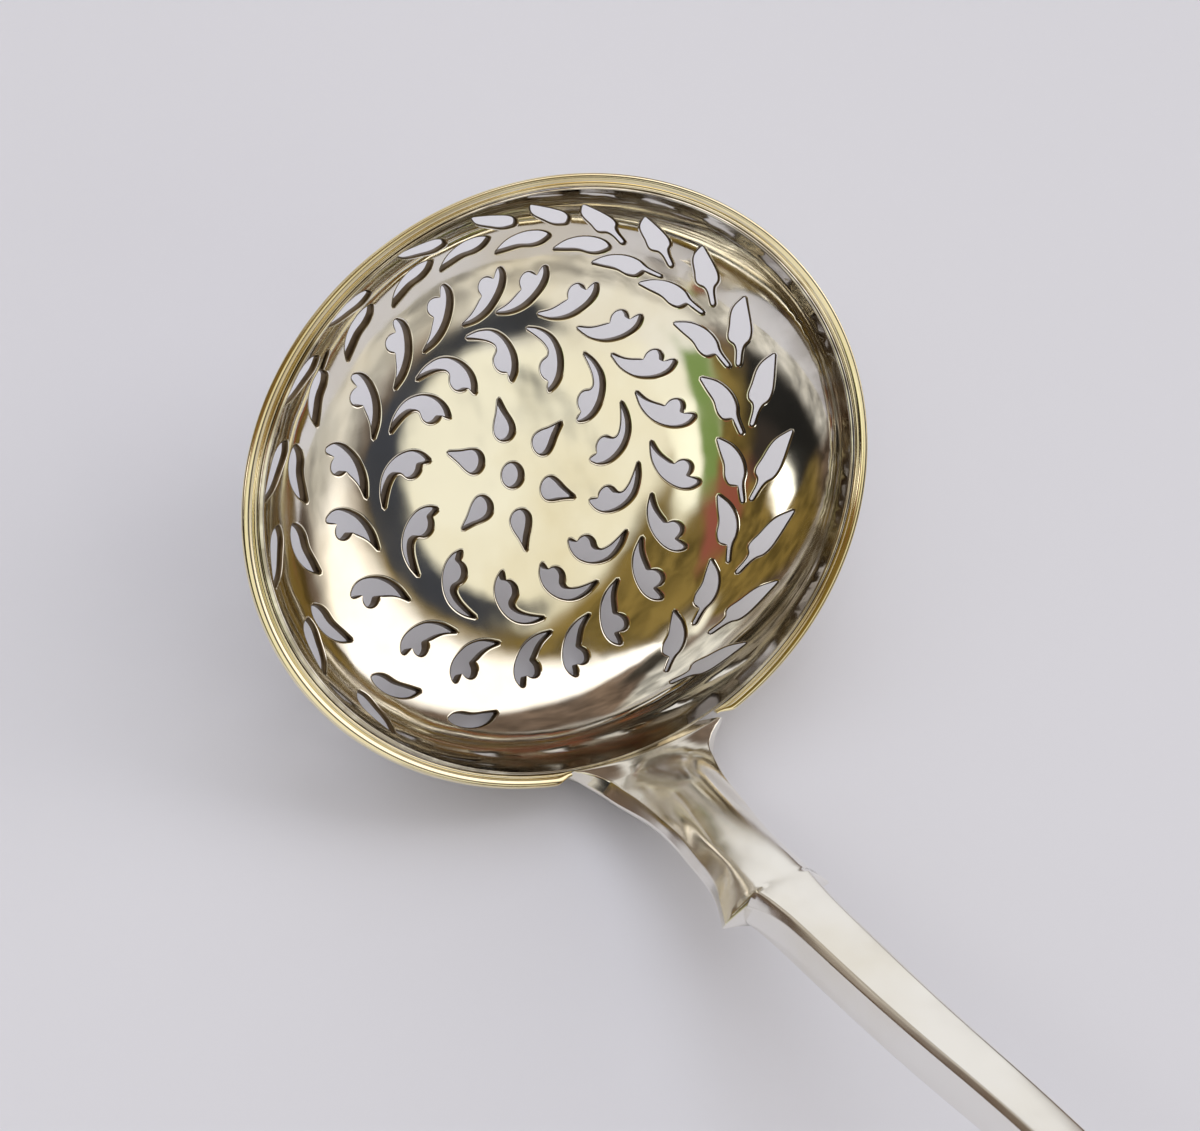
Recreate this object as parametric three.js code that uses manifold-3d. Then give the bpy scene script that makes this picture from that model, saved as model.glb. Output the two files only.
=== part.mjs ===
// Sifter spoon with a pierced oval bowl, a moulded rim wire and a fiddle-pattern handle.
// All sizes are in millimetres and +Z is up.
// The pieces are drawn in the bowl's own frame: the mouth is the plane z = 0 and the handle points to +X.
// The finished spoon is then tipped back onto its handle's end, which is how it lies on a table.

import * as THREE from "three";
import Module from "manifold-3d";

const wasm = await Module();
wasm.setup();

// Bowl sizes
const curveRadius = 23.7;
const lipRadius = 23.42;
const bottomRadius = 7.5;
const bowlDepth = 9.02;
const profilePower = 1.85;
const ovalRatio = 0.812;
const ovalPower = 4;
const sheetThickness = 0.95;
const lipThickness = 0.46;
const bowlSegments = 40;
const bowlRings = [7.5, 11, 14.4, 17.6, 20.6, 23.4, 25.8];

// Rim wire sizes
const wireClearance = 0.06;
const wireOuterRadius = 25;
const wireHeight = 0.86;
const wireStartAngle = 20.1;
const wireStopAngle = 12.9;
const wireSegments = 64;

// Stem sizes
const stemLength = 112;
const wingHalfWidth = 6.6;
const lipSag = 0.75;
const stemOffset = 1.7;
const offsetReach = 34;
const stemStart = new THREE.Vector2(19.68, 0.02);

// Polished silver
const silver = new THREE.MeshStandardMaterial({ color: 0xdedbd2, roughness: 0.12, metalness: 1 });
const wireSilver = new THREE.MeshStandardMaterial({ color: 0xd9d5c8, roughness: 0.16, metalness: 1 });

// The bowl's inner profile: the distance walked from the centre gives radius and height.
// The last stretch under the lip is upright.
function makeProfile() {
  const steps = 240;
  const rows = [{ s: 0, r: 0, z: -bowlDepth }];
  rows.push({ s: bottomRadius, r: bottomRadius, z: -bowlDepth });
  let s = bottomRadius;
  for (let i = 1; i <= steps; i += 1) {
    const a = (i / steps) * (Math.PI / 2);
    const reach = bottomRadius + (curveRadius - bottomRadius) * Math.sin(a) ** (2 / profilePower);
    const r = Math.min(reach, lipRadius);
    const z = i === steps ? 0 : -bowlDepth * Math.cos(a) ** (2 / profilePower);
    const last = rows[rows.length - 1];
    s += Math.hypot(r - last.r, z - last.z);
    rows.push({ s, r, z });
  }
  return rows;
}

const profile = makeProfile();
const lipDistance = profile[profile.length - 1].s;

// The profile point at one distance from the centre
function profileAt(distance) {
  const s = Math.min(Math.max(distance, 0), lipDistance);
  let i = 1;
  while (i < profile.length - 1 && profile[i].s < s) {
    i += 1;
  }
  const a = profile[i - 1];
  const b = profile[i];
  const f = (s - a.s) / (b.s - a.s);
  return { r: a.r + (b.r - a.r) * f, z: a.z + (b.z - a.z) * f };
}

// The sheet thins a little towards the lip
function thicknessAt(s) {
  const f = THREE.MathUtils.smoothstep(s, 15, 23.5);
  return sheetThickness + (lipThickness - sheetThickness) * f;
}

// Radius and height at a distance from the centre and an offset out of the sheet
function sectionPoint(s, offset) {
  const p = profileAt(s);
  if (s >= lipDistance) {
    return { r: p.r + offset, z: 0 };
  }
  const before = profileAt(s - 0.2);
  const after = profileAt(s + 0.2);
  const run = Math.hypot(after.r - before.r, after.z - before.z) || 1;
  const nr = s === 0 ? 0 : (after.z - before.z) / run;
  const nz = s === 0 ? -1 : -(after.r - before.r) / run;
  return { r: p.r + nr * offset, z: p.z + nz * offset };
}

// The mouth is an oval that is narrower along the handle, while the bottom is round
function place(r, angle, z) {
  const squeeze = 1 - (1 - ovalRatio) * Math.min(r / curveRadius, 1) ** ovalPower;
  return new THREE.Vector3(r * Math.cos(angle) * squeeze, r * Math.sin(angle), z);
}

// A closed solid from loops of points, each loop joined to the next and both ends capped
function solidFromLoops(loops, closed = false) {
  const count = loops[0].length;
  const points = loops.flat();
  const index = [];
  const bands = closed ? loops.length : loops.length - 1;
  for (let i = 0; i < bands; i += 1) {
    const a = i * count;
    const b = ((i + 1) % loops.length) * count;
    for (let j = 0; j < count; j += 1) {
      const k = (j + 1) % count;
      index.push(a + j, a + k, b + k, a + j, b + k, b + j);
    }
  }
  if (!closed) {
    const last = (loops.length - 1) * count;
    for (const face of capTriangles(loops[0])) {
      index.push(face[0], face[2], face[1]);
    }
    for (const face of capTriangles(loops[loops.length - 1])) {
      index.push(last + face[0], last + face[1], last + face[2]);
    }
  }
  return toManifold(points, index);
}

// Triangles that fill one loop, found in the loop's own plane
function capTriangles(loop) {
  const normal = new THREE.Vector3();
  for (let i = 0; i < loop.length; i += 1) {
    normal.add(new THREE.Vector3().crossVectors(loop[i], loop[(i + 1) % loop.length]));
  }
  normal.normalize();
  const u = new THREE.Vector3().subVectors(loop[1], loop[0]).normalize();
  const v = new THREE.Vector3().crossVectors(normal, u);
  const flat = loop.map((p) => new THREE.Vector2(p.dot(u), p.dot(v)));
  return THREE.ShapeUtils.triangulateShape(flat, []);
}

// A manifold solid from points and triangles, turned right side out
function toManifold(points, index) {
  let volume = 0;
  for (let i = 0; i < index.length; i += 3) {
    const [a, b, c] = [points[index[i]], points[index[i + 1]], points[index[i + 2]]];
    volume += a.dot(new THREE.Vector3().crossVectors(b, c));
  }
  if (volume < 0) {
    for (let i = 0; i < index.length; i += 3) {
      [index[i + 1], index[i + 2]] = [index[i + 2], index[i + 1]];
    }
  }
  const vertProperties = new Float32Array(points.flatMap((p) => [p.x, p.y, p.z]));
  const triVerts = new Uint32Array(index);
  return new wasm.Manifold(new wasm.Mesh({ numProp: 3, vertProperties, triVerts }));
}

// A named mesh from a manifold solid
function toMesh(name, solid, material) {
  const data = solid.getMesh();
  const geometry = new THREE.BufferGeometry();
  geometry.setAttribute("position", new THREE.BufferAttribute(data.vertProperties, 3));
  geometry.setIndex(new THREE.BufferAttribute(data.triVerts, 1));
  geometry.computeVertexNormals();
  const mesh = new THREE.Mesh(geometry, material);
  mesh.name = name;
  return mesh;
}

// A solid of revolution squeezed to the bowl's oval, from a profile that starts and ends on the axis
function ovalSolid(outline, segments) {
  const points = [place(0, 0, outline[0].z)];
  for (let i = 1; i < outline.length - 1; i += 1) {
    for (let j = 0; j < segments; j += 1) {
      points.push(place(outline[i].r, (j / segments) * 2 * Math.PI, outline[i].z));
    }
  }
  points.push(place(0, 0, outline[outline.length - 1].z));
  const end = points.length - 1;
  const rings = outline.length - 2;
  const index = [];
  for (let j = 0; j < segments; j += 1) {
    const k = (j + 1) % segments;
    index.push(0, 1 + k, 1 + j);
    for (let i = 0; i < rings - 1; i += 1) {
      const a = 1 + i * segments;
      const b = a + segments;
      index.push(a + j, a + k, b + k, a + j, b + k, b + j);
    }
    const a = 1 + (rings - 1) * segments;
    index.push(end, a + j, a + k);
  }
  return toManifold(points, index);
}

// The bowl's sheet: down the outside from the lip is the way back up the inside
function bowlSheet() {
  const outline = [sectionPoint(0, 0)];
  for (const s of bowlRings) {
    outline.push(sectionPoint(s, 0));
  }
  outline.push({ r: lipRadius, z: 0 });
  outline.push({ r: lipRadius + lipThickness, z: 0 });
  for (const s of [...bowlRings].reverse()) {
    outline.push(sectionPoint(s, thicknessAt(s)));
  }
  outline.push(sectionPoint(0, sheetThickness));
  return ovalSolid(outline, bowlSegments);
}

// The filled space of the bowl with a hair's clearance, which the stem's root must stay out of
function bowlEnvelope() {
  const outline = [sectionPoint(0, sheetThickness + wireClearance)];
  for (const s of bowlRings) {
    outline.push(sectionPoint(s, thicknessAt(s) + wireClearance));
  }
  outline.push({ r: lipRadius + lipThickness + wireClearance, z: 0 });
  outline.push({ r: lipRadius + lipThickness + wireClearance, z: 0.01 });
  outline.push({ r: 0, z: 0.01 });
  return ovalSolid(outline, bowlSegments);
}

// Leaf outlines on the sheet: first number clockwise, second outward, from the leaf's own place
const innerComma = [
  [-3.3, 1.6], [-2.3, 1.5], [-1.4, 1.3], [-0.75, 0.9], [-0.65, 0.5], [-0.95, -0.05], [-0.85, -0.6],
  [-0.4, -0.95], [0.1, -1.0], [0.35, -1.75], [0.75, -1.1], [0.85, -0.3], [0.55, 0.6], [-0.1, 1.4],
  [-1.0, 1.9], [-2.2, 1.95],
];
const outerComma = [
  [-2.3, -2.35], [-1.0, -2.2], [0.1, -1.65], [0.8, -0.9], [1.3, 0.1], [1.35, 0.9], [1.05, 1.55],
  [0.85, 1.55], [0.5, 0.65], [0.15, 0.85], [-0.35, 0.9], [-0.65, 0.6], [-0.7, 0.05], [-0.4, -0.45],
  [-1.3, -1.65],
];
const lowSpear = [
  [-2.1, -1.15], [-1.1, -0.85], [0, -0.5], [1.0, -0.45], [1.6, -0.2], [1.75, 0.5], [3.2, 0.7],
  [3.2, 0.9], [1.6, 0.8], [0.9, 0.95], [-0.3, 0.75], [-1.4, 0.0],
];
const highSpear = [
  [-2.2, 1.1], [-1.35, -0.15], [0.1, -1.05], [1.15, -1.6], [1.7, -1.4], [3.4, -2.15], [3.5, -1.95],
  [2.0, -0.85], [1.8, -0.4], [1.2, 0.05], [0.3, 0.4], [-0.9, 0.75],
];
const shortLowSpear = [
  [-2.1, -1.15], [-1.1, -0.85], [0, -0.5], [1.0, -0.45], [1.6, -0.2], [2.1, 0.45], [1.7, 0.75],
  [0.9, 0.95], [-0.3, 0.75], [-1.4, 0.0],
];
const shortHighSpear = [
  [-2.2, 1.1], [-1.35, -0.15], [0.1, -1.0], [1.15, -1.4], [2.0, -1.3], [1.8, -0.5], [1.2, 0.05],
  [0.3, 0.4], [-0.9, 0.75],
];
const drop = [
  [0, 1.75], [-0.36, 0.7], [-0.72, -0.1], [-0.8, -0.65], [-0.5, -1.1], [0, -1.25], [0.5, -1.1],
  [0.8, -0.65], [0.72, -0.1], [0.36, 0.7],
];

// Rows of leaves: each one's angle from the handle, its distance from the centre and its own turn
const leafRows = [
  { outline: drop, leaves: [[0, 3.8], [60, 3.8], [120, 3.8], [180, 3.8], [240, 3.8], [300, 3.8]] },
  {
    outline: innerComma,
    leaves: [
      [144.5, 8.3], [116, 8.3], [89.5, 8.3], [64, 8.5], [36, 8.4], [12, 8.5], [-16, 8.5],
      [-47.5, 8.3], [-79, 8.1], [-109, 8.4], [-138, 8.2], [-161, 8.2], [172, 8.3],
    ],
  },
  {
    outline: outerComma,
    leaves: [
      [131, 13.8], [114, 13.9], [97, 13.9], [78, 13.9], [59, 13.9], [43, 14], [25, 13.9],
      [8.5, 14.2], [-8, 13.9], [-29, 14.1], [-46.5, 14], [-68, 14.1], [-89, 14], [-107, 14],
      [-127, 13.7], [-146, 13.5], [-163, 13.5], [179, 13.5], [165, 13.7], [148, 13.7],
    ],
  },
  {
    outline: lowSpear,
    leaves: [
      [142, 17.6], [128, 18.1], [113, 17.9], [96, 17.7], [79, 17.9], [64, 18], [47, 18.4, 8],
      [32, 18.4, -12], [-123, 17.9],
    ],
  },
  {
    outline: shortLowSpear,
    leaves: [
      [-26.5, 18.6], [-48, 18.5], [-70, 18.9], [-88, 18.4], [-105, 18.3], [-140.5, 17.4],
      [-158.5, 17.15], [-174, 17.4], [170, 17.4], [154, 17.8],
    ],
  },
  {
    outline: highSpear,
    leaves: [
      [156, 21], [143, 21.6], [129, 21.9], [113, 21.4], [98, 21.3], [80, 21.3], [62, 21.8],
      [46, 22.4], [31, 23],
    ],
  },
  {
    outline: shortHighSpear,
    leaves: [
      [-50, 22.4], [-69, 21.7], [-89.5, 21.8], [-106.5, 21.2], [-125, 20.9], [-142.5, 20.3],
      [-163, 20], [179.5, 20.2], [167, 20.6],
    ],
  },
];

// One straight saw cut through the sheet, square to the sheet at the leaf's place
function piercing(outline, degrees, distance, ownTurn = 0) {
  const turn = THREE.MathUtils.degToRad(degrees);
  const twist = THREE.MathUtils.degToRad(ownTurn);
  const chart = outline.map(([a, b]) => {
    const side = a * Math.cos(twist) + b * Math.sin(twist);
    const out = b * Math.cos(twist) - a * Math.sin(twist);
    const x = (distance + out) * Math.cos(turn) + side * Math.sin(turn);
    const y = (distance + out) * Math.sin(turn) - side * Math.cos(turn);
    return { s: Math.hypot(x, y), angle: Math.atan2(y, x) };
  });
  const inside = sectionPoint(distance, 0);
  const outside = sectionPoint(distance, 1);
  const cut = place(outside.r, turn, outside.z).sub(place(inside.r, turn, inside.z)).normalize();
  const onSheet = chart.map(({ s, angle }) => {
    const p = profileAt(s);
    return place(p.r, angle, p.z);
  });
  const above = onSheet.map((p) => p.clone().addScaledVector(cut, -1.1));
  const below = onSheet.map((p) => p.clone().addScaledVector(cut, 1.9));
  return solidFromLoops([above, below]);
}

// The pierced bowl
function makeBowl() {
  const cuts = [];
  for (const row of leafRows) {
    for (const leaf of row.leaves) {
      cuts.push(piercing(row.outline, ...leaf));
    }
  }
  const centre = [];
  for (let i = 0; i < 10; i += 1) {
    const a = (i / 10) * 2 * Math.PI;
    centre.push([0.85 * Math.sin(a), 0.85 * Math.cos(a)]);
  }
  cuts.push(piercing(centre, 0, 0.001));
  return bowlSheet().subtract(wasm.Manifold.union(cuts));
}

// Section of the rim wire, as radius and height: a bead, a groove and a rounded band
function wireSection() {
  const inner = lipRadius + lipThickness + wireClearance;
  return [
    { r: inner, z: -wireHeight },
    { r: inner, z: -0.08 },
    { r: inner + 0.08, z: 0.04 },
    { r: inner + 0.22, z: 0.04 },
    { r: inner + 0.3, z: -0.1 },
    { r: inner + 0.4, z: 0.05 },
    { r: inner + 0.74, z: 0.15 },
    { r: wireOuterRadius - 0.12, z: 0.12 },
    { r: wireOuterRadius, z: -0.02 },
    { r: wireOuterRadius - 0.12, z: -0.26 },
    { r: wireOuterRadius - 0.4, z: -0.54 },
    { r: wireOuterRadius - 0.68, z: -0.78 },
    { r: wireOuterRadius - 0.84, z: -wireHeight },
  ];
}

// The wire runs round the mouth and stops on both sides of the stem
function makeRimWire() {
  const section = wireSection();
  const start = THREE.MathUtils.degToRad(wireStartAngle);
  const sweep = 2 * Math.PI - start - THREE.MathUtils.degToRad(wireStopAngle);
  const loops = [];
  for (let i = 0; i <= wireSegments; i += 1) {
    const angle = start + (sweep * i) / wireSegments;
    loops.push(section.map(({ r, z }) => place(r, angle, z)));
  }
  return solidFromLoops(loops);
}

// The stem is described along its length, from the drop under the bowl to the handle's end
// along: distance from the lip, half: half width, crown: how far the front falls to its edge,
// edge: height of the side wall, thick: full thickness, flat: half width of the back's flat
const stemStations = [
  { along: -9.0, half: 1.2, crown: 0.02, edge: 0.05, thick: 0.4, flat: 0.4 },
  { along: -7.6, half: 2.5, crown: 0.2, edge: 0.4, thick: 1.3, flat: 0.9 },
  { along: -5.4, half: 3.6, crown: 0.5, edge: 0.8, thick: 2.3, flat: 1.2 },
  { along: -3.2, half: 4.5, crown: 0.5, edge: 0.9, thick: 2.8, flat: 1.5 },
  { along: -1.4, half: 5.5, crown: 0.4, edge: 0.9, thick: 3.1, flat: 1.8 },
  { along: -0.6, half: 6.0, crown: 0.3, edge: 0.8, thick: 3.2, flat: 2.1 },
  { along: 0.0, half: 6.6, crown: 0.1, edge: 0.9, thick: 3.3, flat: 2.4 },
  { along: 0.25, half: 6.0, crown: 0.11, edge: 1.15, thick: 3.3, flat: 2.4 },
  { along: 0.6, half: 5.3, crown: 0.13, edge: 1.35, thick: 3.3, flat: 2.35 },
  { along: 1.2, half: 4.5, crown: 0.16, edge: 1.45, thick: 3.3, flat: 2.3 },
  { along: 2.2, half: 4.1, crown: 0.24, edge: 1.4, thick: 3.3, flat: 2.2 },
  { along: 3.5, half: 3.66, crown: 0.36, edge: 1.3, thick: 3.3, flat: 2.05 },
  { along: 5.0, half: 3.3, crown: 0.46, edge: 1.15, thick: 3.3, flat: 1.85 },
  { along: 6.7, half: 3.1, crown: 0.6, edge: 1.1, thick: 3.3, flat: 1.7 },
  { along: 8.4, half: 3.0, crown: 0.86, edge: 1.1, thick: 3.3, flat: 1.75 },
  { along: 10.2, half: 3.07, crown: 1.16, edge: 1.05, thick: 3.3, flat: 1.8 },
  { along: 12.0, half: 3.35, crown: 1.53, edge: 0.9, thick: 3.3, flat: 1.8 },
  { along: 13.5, half: 3.85, crown: 1.91, edge: 0.6, thick: 3.3, flat: 1.8 },
  { along: 15.02, half: 4.48, crown: 2.33, edge: 0.35, thick: 3.3, flat: 1.8 },
  { along: 15.3, half: 2.86, crown: 1.2, edge: 1.3, thick: 3.3, flat: 1.8 },
  { along: 16.8, half: 2.48, crown: 0.82, edge: 1.55, thick: 3.3, flat: 1.9 },
  { along: 19, half: 2.2, crown: 0.58, edge: 1.65, thick: 3.3, flat: 1.85 },
  { along: 24, half: 2.05, crown: 0.45, edge: 1.65, thick: 3.25, flat: 1.75 },
  { along: 32, half: 1.85, crown: 0.38, edge: 1.6, thick: 3.15, flat: 1.6 },
  { along: 40, half: 1.68, crown: 0.33, edge: 1.5, thick: 3.0, flat: 1.4 },
  { along: 48, half: 1.62, crown: 0.3, edge: 1.35, thick: 2.8, flat: 1.25 },
  { along: 54, half: 1.62, crown: 0.27, edge: 1.2, thick: 2.6, flat: 1.15 },
  { along: 60, half: 1.7, crown: 0.25, edge: 1.05, thick: 2.4, flat: 1.1 },
  { along: 66, half: 1.9, crown: 0.24, edge: 0.92, thick: 2.2, flat: 1.15 },
  { along: 71, half: 2.25, crown: 0.24, edge: 0.85, thick: 2.05, flat: 1.3 },
  { along: 75, half: 2.75, crown: 0.24, edge: 0.8, thick: 1.95, flat: 1.6 },
  { along: 77.6, half: 3.3, crown: 0.24, edge: 0.8, thick: 1.9, flat: 2.0 },
  { along: 78.0, half: 5.6, crown: 0.3, edge: 0.7, thick: 1.85, flat: 3.2 },
  { along: 79.6, half: 5.15, crown: 0.28, edge: 0.75, thick: 1.85, flat: 3.2 },
  { along: 82, half: 5.1, crown: 0.27, edge: 0.78, thick: 1.8, flat: 3.3 },
  { along: 86, half: 5.55, crown: 0.26, edge: 0.8, thick: 1.75, flat: 3.8 },
  { along: 90, half: 6.2, crown: 0.25, edge: 0.82, thick: 1.7, flat: 4.4 },
  { along: 94, half: 6.95, crown: 0.24, edge: 0.84, thick: 1.68, flat: 5.1 },
  { along: 98, half: 7.7, crown: 0.23, edge: 0.85, thick: 1.65, flat: 5.8 },
  { along: 102, half: 8.3, crown: 0.22, edge: 0.86, thick: 1.62, flat: 6.4 },
  { along: 105, half: 8.45, crown: 0.22, edge: 0.86, thick: 1.6, flat: 6.6 },
  { along: 107.4, half: 8.15, crown: 0.22, edge: 0.85, thick: 1.58, flat: 6.4 },
  { along: 109.2, half: 7.35, crown: 0.2, edge: 0.85, thick: 1.55, flat: 5.8 },
  { along: 110.6, half: 6.2, crown: 0.18, edge: 0.84, thick: 1.5, flat: 4.9 },
  { along: 111.5, half: 4.9, crown: 0.15, edge: 0.82, thick: 1.42, flat: 4.0 },
  { along: stemLength, half: 3.6, crown: 0.12, edge: 0.8, thick: 1.3, flat: 3.0 },
];

// The slope of the stem's front, in degrees above the plane of the mouth
function slopeAt(along) {
  const { smoothstep } = THREE.MathUtils;
  const root = 62 - 12 * smoothstep(along, -1.5, 0) + 18.3 * smoothstep(along, 0, 2.2);
  return root - 83.3 * smoothstep(along, 30, stemLength);
}

// The stem meets the bowl a little to one side and comes back to the middle along the handle
function offsetAt(along) {
  const { smoothstep } = THREE.MathUtils;
  return stemOffset * smoothstep(along, -1.5, 0.2) * (1 - smoothstep(along, 0, offsetReach));
}

// The middle of the stem's front, found by walking along its slope
function stemPath(along) {
  const steps = Math.max(2, Math.ceil(Math.abs(along) * 4));
  const point = stemStart.clone();
  for (let i = 0; i < steps; i += 1) {
    const here = ((i + 0.5) / steps) * along;
    const slope = THREE.MathUtils.degToRad(slopeAt(here));
    point.x += (Math.cos(slope) * along) / steps;
    point.y += (Math.sin(slope) * along) / steps;
  }
  return point;
}

// One closed section of the stem, which follows the lip's curve at the root
function stemLoop(station) {
  const middle = stemPath(station.along);
  const slope = THREE.MathUtils.degToRad(slopeAt(station.along));
  const bend = lipSag * THREE.MathUtils.clamp(1 - station.along / 6, 0, 1) ** 2;
  const { half, crown, edge, thick, flat } = station;
  const side = [
    [0.5 * half, 0.22 * crown],
    [0.86 * half, 0.72 * crown],
    [half, crown],
    [half, crown + edge],
    [(half + flat) / 2, (crown + edge + thick) / 2 + 0.18 * (thick - crown - edge)],
    [flat, thick],
  ];
  const right = side.map(([y, d]) => [y, d]);
  const left = side.map(([y, d]) => [-y, d]).reverse();
  return [[0, 0], ...right, ...left].map(([y, d]) => {
    const back = bend * (y / wingHalfWidth) ** 2;
    const x = middle.x - back + d * Math.sin(slope);
    const z = middle.y - d * Math.cos(slope);
    return new THREE.Vector3(x, y + offsetAt(station.along), z);
  });
}

// The stem with its wings, shoulders, fiddle end and the drop that holds the bowl
function makeStem() {
  const raw = solidFromLoops(stemStations.map(stemLoop));
  return raw.subtract(bowlEnvelope());
}

// The spoon lies on the drop under its bowl and on the handle's end, so it is tipped by this angle
function restingTilt() {
  const end = stemLoop(stemStations[stemStations.length - 1]);
  const low = stemStations.filter(({ along }) => along < 5).flatMap(stemLoop);
  for (let s = bottomRadius; s < lipDistance; s += 0.5) {
    const section = sectionPoint(s, thicknessAt(s));
    low.push(place(section.r, 0, section.z));
  }
  const slopes = low.map((a) => Math.min(...end.map((b) => Math.atan2(b.z - a.z, b.x - a.x))));
  return Math.max(...slopes);
}

const spoon = new THREE.Group();
spoon.name = "spoon";
spoon.add(toMesh("bowl", makeBowl(), silver));
spoon.add(toMesh("rim_wire", makeRimWire(), wireSilver));
spoon.add(toMesh("stem", makeStem(), silver));
spoon.rotation.y = restingTilt();

// The resting spoon stands over the origin with its lowest point on the table
const object = new THREE.Group();
object.name = "sifter_spoon";
object.add(spoon);
object.updateMatrixWorld(true);
const box = new THREE.Box3().setFromObject(object, true);
spoon.position.x -= (box.min.x + box.max.x) / 2;
spoon.position.y -= (box.min.y + box.max.y) / 2;
spoon.position.z -= box.min.z;
object.updateMatrixWorld(true);

export default object;
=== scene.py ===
# %% [markdown]
# # A pierced sifter spoon on a pale table
# A sifter spoon lifts sugar and lets it fall through its pierced bowl. The real one is silver, made of
# three pieces soldered together: a raised bowl, a moulded wire round its mouth and a forged stem.
# Here it arrives as a fixed frame of three plain solids. This notebook draws each of them again with
# finer shapes, gives them polished silver, and adds the table, the light and the camera.

# %% Load the frame
import math

import bpy
import numpy as np
from mathutils import Matrix, Vector
from mathutils.geometry import delaunay_2d_cdt


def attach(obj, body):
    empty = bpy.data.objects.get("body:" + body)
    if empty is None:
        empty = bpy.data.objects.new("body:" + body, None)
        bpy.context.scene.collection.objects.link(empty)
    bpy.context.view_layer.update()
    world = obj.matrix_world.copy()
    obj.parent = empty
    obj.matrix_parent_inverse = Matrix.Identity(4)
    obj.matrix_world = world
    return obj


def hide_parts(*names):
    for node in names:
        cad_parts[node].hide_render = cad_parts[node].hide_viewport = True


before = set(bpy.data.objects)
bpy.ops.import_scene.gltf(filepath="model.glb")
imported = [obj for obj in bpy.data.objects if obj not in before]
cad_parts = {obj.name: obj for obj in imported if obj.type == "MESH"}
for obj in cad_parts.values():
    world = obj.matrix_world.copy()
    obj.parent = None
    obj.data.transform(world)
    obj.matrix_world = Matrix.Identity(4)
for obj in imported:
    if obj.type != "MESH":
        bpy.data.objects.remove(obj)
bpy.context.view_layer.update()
print("loaded", sorted(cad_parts))

# %% [markdown]
# The spoon lies tipped, on the heel of its stem and the end of its handle. It could be drawn as it
# lies, but then every ring of piercing would need tilted sums. So everything is drawn in the bowl's own
# frame, in millimetres, where the mouth is the plane z = 0 and the handle points to +X. One turn and
# one shift put each finished piece on the table.

# %% From the bowl's frame to the table
MM = 0.001
TILT = math.radians(40.32175120)
SHIFT = np.array([-46.8697151, 0.0046644, 16.6854335])


def tipped(v):
    """Directions in the bowl's frame, turned as the resting spoon is."""
    v = np.asarray(v, float)
    c, s = math.cos(TILT), math.sin(TILT)
    return np.stack([v[..., 0] * c + v[..., 2] * s, v[..., 1], v[..., 2] * c - v[..., 0] * s], -1)


def on_table(v):
    """Points of the bowl's frame in millimetres, as places in the scene in metres."""
    return (tipped(v) + SHIFT) * MM


print("the mouth is tipped by", round(math.degrees(TILT), 1), "degrees")

# %% [markdown]
# A silversmith raises the bowl from a flat disc with a hammer. It has a flat round bottom and a wall
# that curves up to the lip, and the sheet gets thinner towards the lip. These sizes drive it, all in
# millimetres apart from the power of the wall's curve and the ratio of the oval mouth.

# %% The bowl's sizes
CURVE_RADIUS = 23.7
LIP_RADIUS = 23.42
BOTTOM_RADIUS = 7.5
BOWL_DEPTH = 9.02
PROFILE_POWER = 1.85
OVAL_RATIO = 0.812
SHEET = 0.91
LIP_SHEET = 0.46
TAPER_START = 13.5
TAPER_STOP = 22
print("bowl", 2 * LIP_RADIUS, "mm across inside,", BOWL_DEPTH, "mm deep inside")

# %% [markdown]
# The bowl could be a turned surface with the leaves cut out by booleans, but 77 cuts leave ragged
# shading. Here the sheet is drawn flat, like a chart of the bowl: each point has a distance walked from
# the centre and an angle from the handle. The profile turns the distance into a radius and a height,
# and it is softened a little, because hammered silver has no sudden change of curve.


# %% The bowl's profile
PROFILE_SAMPLES = 560
# how many samples on each side the average takes in
SOFTENING = 14


def smoothstep(x, low, high):
    t = np.clip((np.asarray(x, float) - low) / (high - low), 0, 1)
    return t * t * (3 - 2 * t)


def softened(values):
    """A moving average that leaves both ends in place."""
    before = 2 * values[0] - values[SOFTENING:0:-1]
    after = 2 * values[-1] - values[-2 : -SOFTENING - 2 : -1]
    window = np.ones(2 * SOFTENING + 1) / (2 * SOFTENING + 1)
    return np.convolve(np.concatenate([before, values, after]), window, "valid")


def make_profile():
    """Distance walked, radius and height along the inside, from the centre to the lip."""
    a = np.linspace(0, np.pi / 2, 400)
    reach = BOTTOM_RADIUS + (CURVE_RADIUS - BOTTOM_RADIUS) * np.sin(a) ** (2 / PROFILE_POWER)
    sink = np.maximum(np.cos(a), 0) ** (2 / PROFILE_POWER)
    r = np.concatenate([[0], np.minimum(reach, LIP_RADIUS)])
    z = -BOWL_DEPTH * np.concatenate([[1], sink])
    walked = np.concatenate([[0], np.cumsum(np.hypot(np.diff(r), np.diff(z)))])
    even = np.linspace(0, walked[-1], PROFILE_SAMPLES)
    return even, softened(np.interp(even, walked, r)), softened(np.interp(even, walked, z))


PROFILE = make_profile()
LIP_DISTANCE = PROFILE[0][-1]
print("profile length", round(float(LIP_DISTANCE), 2), "mm")

# %% [markdown]
# The sheet has an inside and an outside. A point on it is found from its place in the chart and an
# offset out through the sheet. The same functions give the true direction out of the surface, and the
# mesh uses that for shading, so a mirror finish shows no facets.


# %% From the chart to the sheet
SLOPE_STEP = 0.25
NORMAL_STEP = 0.05


def thickness(s):
    return SHEET + (LIP_SHEET - SHEET) * smoothstep(s, TAPER_START, TAPER_STOP)


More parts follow.
